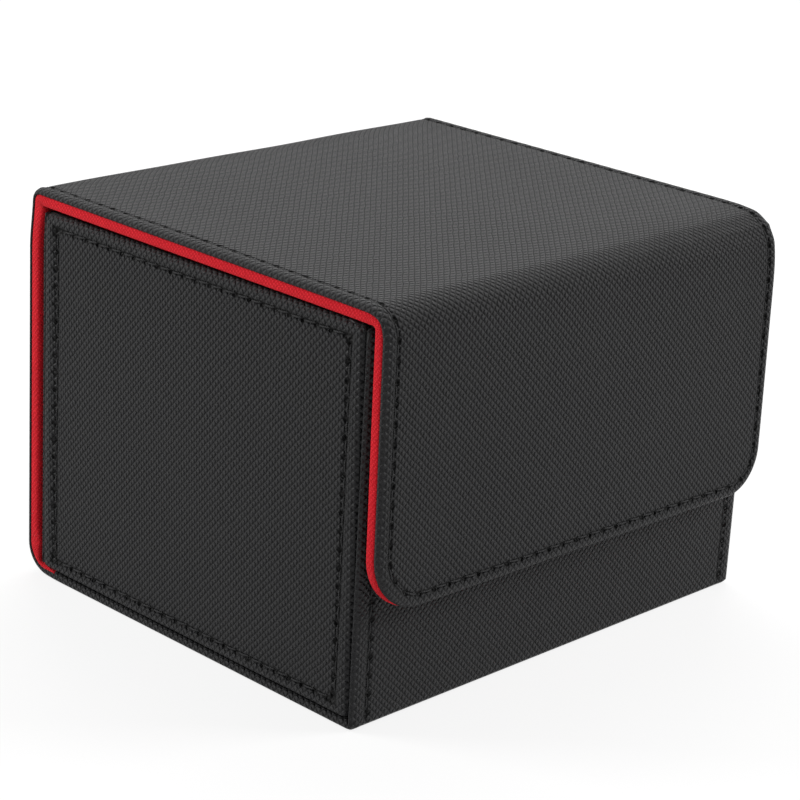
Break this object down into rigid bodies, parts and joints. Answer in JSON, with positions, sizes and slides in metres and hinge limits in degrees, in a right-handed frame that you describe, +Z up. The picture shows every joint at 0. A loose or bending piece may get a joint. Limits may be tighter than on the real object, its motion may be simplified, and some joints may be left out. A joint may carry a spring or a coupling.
{
  "type": "card deck box",
  "caption": "Leather-covered box for a standing deck of sleeved cards, with a wrap-round hinged lid and a front flap closure.",
  "frame": {"origin": "middle of the base, on the surface the box stands on", "axes": "+Z up, +X along the box's width, -Y out of the flap's face, +Y towards the hinged back"},
  "size_m": [0.104, 0.0952, 0.0767],
  "materials": {
    "leather": "matt embossed artificial leather, fine diagonal lattice",
    "red_microfibre": "short-pile microfibre",
    "greyboard": "plain board, hidden",
    "steel": "plain sheet steel, hidden",
    "magnet": "nickel plated, hidden",
    "thread": "twisted thread"
  },
  "bodies": {
    "tray": {"base_skin": "leather", "base_board": "greyboard", "floor_lining": "red_microfibre", "front_skin": "leather", "front_board": "greyboard", "front_discs": "steel", "front_lining": "red_microfibre", "front_stitching": "thread", "rear_skin": "leather", "rear_board": "greyboard", "rear_lining": "red_microfibre", "left_skin": "leather", "left_board": "greyboard", "left_lining": "red_microfibre", "left_stitching": "thread", "right_skin": "leather", "right_board": "greyboard", "right_lining": "red_microfibre", "right_stitching": "thread", "base_fold_skin": "leather", "base_fold_lining": "red_microfibre"},
    "back": {"back_skin": "leather", "back_board": "greyboard", "back_lining": "red_microfibre", "back_stitching": "thread", "rear_fold_skin": "leather", "rear_fold_lining": "red_microfibre"},
    "lid": {"top_skin": "leather", "top_board": "greyboard", "top_lining": "red_microfibre", "top_stitching": "thread", "front_fold_skin": "leather", "front_fold_lining": "red_microfibre"},
    "flap": {"flap_skin": "leather", "flap_board": "greyboard", "flap_magnets": "magnet", "flap_lining": "red_microfibre", "flap_stitching": "thread"}
  },
  "joints": [
    {"name": "back_hinge", "type": "hinge", "parent": "tray", "child": "back", "pos_m": [0, 0.04588, 0.00172], "axis": [-1, 0, 0], "range_deg": [0, 22.5], "deforming": ["base_fold_skin", "base_fold_lining"]},
    {"name": "lid_hinge", "type": "hinge", "parent": "back", "child": "lid", "pos_m": [0, 0.04661, 0.07571], "axis": [-1, 0, 0], "range_deg": [0, 150], "deforming": ["rear_fold_skin", "rear_fold_lining"]},
    {"name": "flap_hinge", "type": "hinge", "parent": "lid", "child": "flap", "pos_m": [0, -0.04597, 0.07507], "axis": [-1, 0, 0], "range_deg": [0, 120], "deforming": ["front_fold_skin", "front_fold_lining"]}
  ],
  "couplings": [
    {"joint": "back_hinge", "follows": "lid_hinge", "ratio": 0.15}
  ]
}
